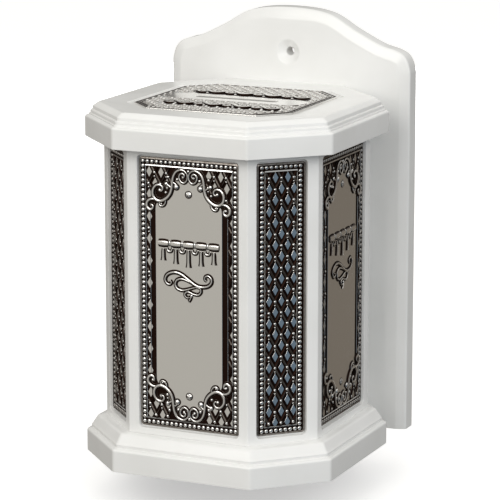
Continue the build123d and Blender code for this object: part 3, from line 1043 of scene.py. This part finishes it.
def nails(index, name):
    """Two domed pins with a turned collar, driven through the plaque."""
    skin = Skin()
    for v in (NAIL_V, -NAIL_V):
        rings = []
        for radius, height, drop in NAIL_PROFILE:
            corners = circle((0, v), radius, NAIL_CORNERS)
            rings.append(skin.ring([
                (p.x, p.y, FIELD + height - drop * (i % 4 // 2)) for i, p in enumerate(corners)
            ]))
        skin.loft(rings)
        skin.cap(rings[-1], (0, v, FIELD + NAIL_PROFILE[-1][1] + 0.02))
        shank = [
            skin.ring(at_height(circle((0, v), SHANK_RADIUS, NAIL_CORNERS), w))
            for w in (FIELD, SHANK_END + SHANK_POINT)
        ]
        skin.loft([rings[0]] + shank)
        skin.cap(shank[-1], (0, v, SHANK_END))
    on_face(skin, index)
    return skin.piece(f"nail_pair_{name}", nail_metal, f"nails_{name}", 35)


# Length and width of the smooth strip round the coin slot
TOP_STRIP = (84.0, 19.0)
# The top plaque's ground and lattice are set paler than on the walls
TOP_TONE = 0.72
TOP_PLATE_TONE = 0.86
TOP_RIM = [
    (0.0, 0.0, 0.9), (0.0, 0.59, 0.9), (0.05, 0.72, 0.9), (0.475, 0.95, 0.9), (0.515, 0.87, 0.9),
    (0.6, GROUND, 0.0), (1.9, GROUND, 0.0), (2.1, GROUND, TOP_PLATE_TONE),
]
TOP_RIM_MARGIN = 0.4
TOP_LATTICE_CELL = (6.6, 7.4)
TOP_LATTICE_FACET = (1.7, 1.9)
# Its edges with beads on them: back, back left corner and front
BEADED_EDGES = (3, 4, 7)
# The vines: where they lie, how far they wave, and how far round them the lattice stops
VINE_ROWS = (12.2, -29.3)
VINE_CENTRE = 2.0
VINE_WAVES, VINE_WAVE, VINE_RISE = 8, 8.7, 3.3
VINE_CLEAR = (36, 6.5)


def top_plaque():
    """The plaque round the coin slot: beaded edge, two running vines and a smooth strip."""
    skin = Skin()
    bead_corners, line_corners = top_corners(-1.7), top_corners(-3.1)
    for i in range(8):
        j = (i + 1) % 8
        if i in BEADED_EDGES:
            bead_line(skin, bead_corners[i], bead_corners[j], 1.1, 0.85, last=False)
        else:
            stroke(skin, [line_corners[i], line_corners[j]], (0.4,) * 3, 0.45, GROUND, 0.6)
    edges = len(skin.tones)
    half_depth = (top_high.y - top_low.y) / 2
    corner_limit = top_high.x + half_depth - TOP_PLAQUE_CORNER - 7.0

    def covered(p):
        side, depth = abs(p.x), abs(p.y - top_middle.y)
        strip = depth < TOP_STRIP[1] / 2 + 0.8 and side < TOP_STRIP[0] / 2 + 0.5
        from_row = min(abs(p.y - row) for row in VINE_ROWS)
        vine = abs(p.x - VINE_CENTRE) < VINE_CLEAR[0] and from_row < VINE_CLEAR[1]
        return side + depth > corner_limit or strip or vine

    reach = Vector((top_high.x - 3.9, half_depth - 4.4))
    origin = (0, top_middle.y + 1.0)
    low, high = top_middle - reach, top_middle + reach
    lattice(skin, low, high, covered, origin, TOP_LATTICE_CELL, TOP_LATTICE_FACET)
    skin.tones[edges:] = [TOP_TONE + (1 - TOP_TONE) * tone for tone in skin.tones[edges:]]
    for row in VINE_ROWS:
        vine(skin, row)
    slot = stadium(top_middle, SLOT_LENGTH, SLOT_WIDTH)
    plate(skin, top_octagon(TOP_RIM_MARGIN), TOP_RIM, slot, TOP_PLATE_TONE)
    lining = stadium(top_middle, SLOT_LENGTH - 0.1, SLOT_WIDTH - 0.1)
    panel(skin, stadium(top_middle, *TOP_STRIP), 0.1, GROUND + 0.35, lining)
    skin.points = [(x, y, z + top_low.z) for x, y, z in skin.points]
    return skin.piece("slot_plaque", silver, "plaque_top", 32)


def vine(skin, row):
    """A waving stem with a curl and a bud in each hollow."""
    start = VINE_CENTRE - VINE_WAVES * VINE_WAVE / 2
    stem = []
    for i in range(VINE_WAVES * 8 + 1):
        wave = i / 8
        stem.append(Vector((start + VINE_WAVE * wave, row + VINE_RISE * sin(pi * wave))))
    stroke(skin, stem, (0.8, 1.3, 0.8), 1.3, GROUND, 1.6, VINE_SECTION)
    for i in range(VINE_WAVES):
        side = 1 if i % 2 == 0 else -1
        centre = Vector((start + VINE_WAVE * (i + 0.5), row - side * 0.9))
        curl = []
        for step in range(17):
            share = step / 16
            radius = 3.1 * (1 - share) + 0.8 * share
            a = side * (radians(20) - share * radians(470))
            curl.append(centre + Vector((radius * cos(a), radius * sin(a))))
        stroke(skin, curl, (0.7, 0.9, 0.6), 1.2, GROUND, 1.3, VINE_SECTION)
        bead(skin, centre, 0.8, GROUND, 1.1)
        bead(skin, centre + Vector((-VINE_WAVE / 2, side * 4.6)), 0.9, GROUND, 0.9)


for wall_index, wall_name in enumerate(WALL_NAMES):
    if wall_name in ("right", "front", "left"):
        figured_plaque(wall_index, wall_name)
        nails(wall_index, wall_name)
    elif has_pocket(wall_name):
        diamond_plaque(wall_index, wall_name)
top_plaque()

for name, material in (
    ("board_screws", zinc), ("lid_dowels", beech), ("base_dowels", beech), ("stopper", rubber),
):
    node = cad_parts[name]
    node.data.materials.clear()
    node.data.materials.append(material)


# ---- floor, light and camera
# The box hangs on a wall, so the floor lies low enough for the stopper to be pulled out
FLOOR_Z = -0.024


def make_floor():
    mesh = bpy.data.meshes.new("floor")
    half = 6.0
    mesh.from_pydata(at_height(rectangle(half, half), FLOOR_Z), [], [(0, 1, 2, 3)])
    item = add_object("floor", mesh)
    material, nodes, links, shader = new_material("pale_floor")
    shader.inputs["Base Color"].default_value = (0.92, 0.92, 0.92, 1)
    shader.inputs["Roughness"].default_value = 0.8
    shader.inputs["Emission Color"].default_value = (1, 1, 1, 1)
    shader.inputs["Emission Strength"].default_value = 0.37
    mesh.materials.append(material)
    item.visible_glossy = False
    item.visible_diffuse = False


def aim(item, place, target):
    """Puts a light or camera at a place and turns it to its target."""
    item.location = place
    item.rotation_mode = "QUATERNION"
    item.rotation_quaternion = (target - place).to_track_quat("-Z", "Y")


def area_light(name, place, size, power, colour=(1, 1, 1), glossy=True):
    light = bpy.data.lights.new(name, "AREA")
    light.shape = "RECTANGLE"
    light.size, light.size_y = size
    light.energy = power
    light.color = colour
    item = add_object(name, light)
    item.visible_glossy = glossy
    aim(item, Vector(place), Vector((0, 0, 0.12)))


# The studio's light: a colour all round, and lobes as (direction, cosines of the angles from it at
# which the lobe starts and is full, colour added)
STUDIO_COLOUR = (0.20, 0.197, 0.19)
STUDIO_LOBES = [
    ((-0.40, -0.89, -0.21), 0.78, 0.97, (0.265, 0.252, 0.223)),
    ((0.89, -0.40, -0.21), 0.78, 0.97, (-0.070, -0.020, 0.036)),
    ((0.40, 0.89, -0.21), 0.78, 0.97, (-0.022, -0.041, -0.060)),
    ((-0.89, 0.40, -0.21), 0.55, 0.95, (-0.07, -0.08, -0.085)),
    ((0.0, 0.0, 1.0), 0.05, 0.7, (0.57, 0.565, 0.545)),
    ((0.0, 0.0, -1.0), 0.22, 0.75, (-0.13, -0.13, -0.125)),
]


def make_world():
    """A studio round the box: bright above, paler at the front left, dim and cool at the right."""
    world = bpy.data.worlds.new("studio")
    bpy.context.scene.world = world
    world.use_nodes = True
    nodes, links = world.node_tree.nodes, world.node_tree.links
    place = nodes.new("ShaderNodeTexCoord")
    total = None
    for direction, start, full, colour in STUDIO_LOBES:
        axis = Vector(direction).normalized()
        facing = add_math(nodes, "ShaderNodeVectorMath", "DOT_PRODUCT", {1: axis})
        lobe = add_node(nodes, "ShaderNodeMapRange", {"From Min": start, "From Max": full})
        lobe.interpolation_type = "SMOOTHSTEP"
        added = add_math(nodes, "ShaderNodeVectorMath", "MULTIPLY_ADD", {1: colour, 2: STUDIO_COLOUR})
        join(links, (place, "Generated", facing, 0), (facing, "Value", lobe, "Value"))
        join(links, (lobe, "Result", added, 0))
        if total:
            join(links, (total, "Vector", added, 2))
        total = added
    join(links, (total, "Vector", nodes["Background"], "Color"))


def make_camera():
    azimuth, elevation, distance = radians(24.46), radians(12.22), 1.51008
    target = Vector((0.00792, -0.0038, 0.11582))
    back = Vector((sin(azimuth) * cos(elevation), -cos(azimuth) * cos(elevation), sin(elevation)))
    data = bpy.data.cameras.new("camera")
    data.sensor_width = 36.0
    data.lens = 193.06
    data.clip_start, data.clip_end = 0.05, 50
    item = add_object("camera", data)
    aim(item, target + back * distance, target)
    bpy.context.scene.camera = item


make_floor()
make_world()
area_light("key", (-0.3, -1.9, 1.0), (1.3, 1.3), 17.8, (1.0, 0.985, 0.95))
area_light("fill", (1.2, -1.5, 0.8), (1.2, 1.2), 4.5)
area_light("side", (1.65, -0.8, 0.75), (1.2, 1.2), 10.5, glossy=False)
area_light("rear", (-0.5, 1.6, 0.1), (1.0, 0.6), 12, glossy=False)
make_camera()
bpy.context.scene.view_settings.view_transform = "Standard"
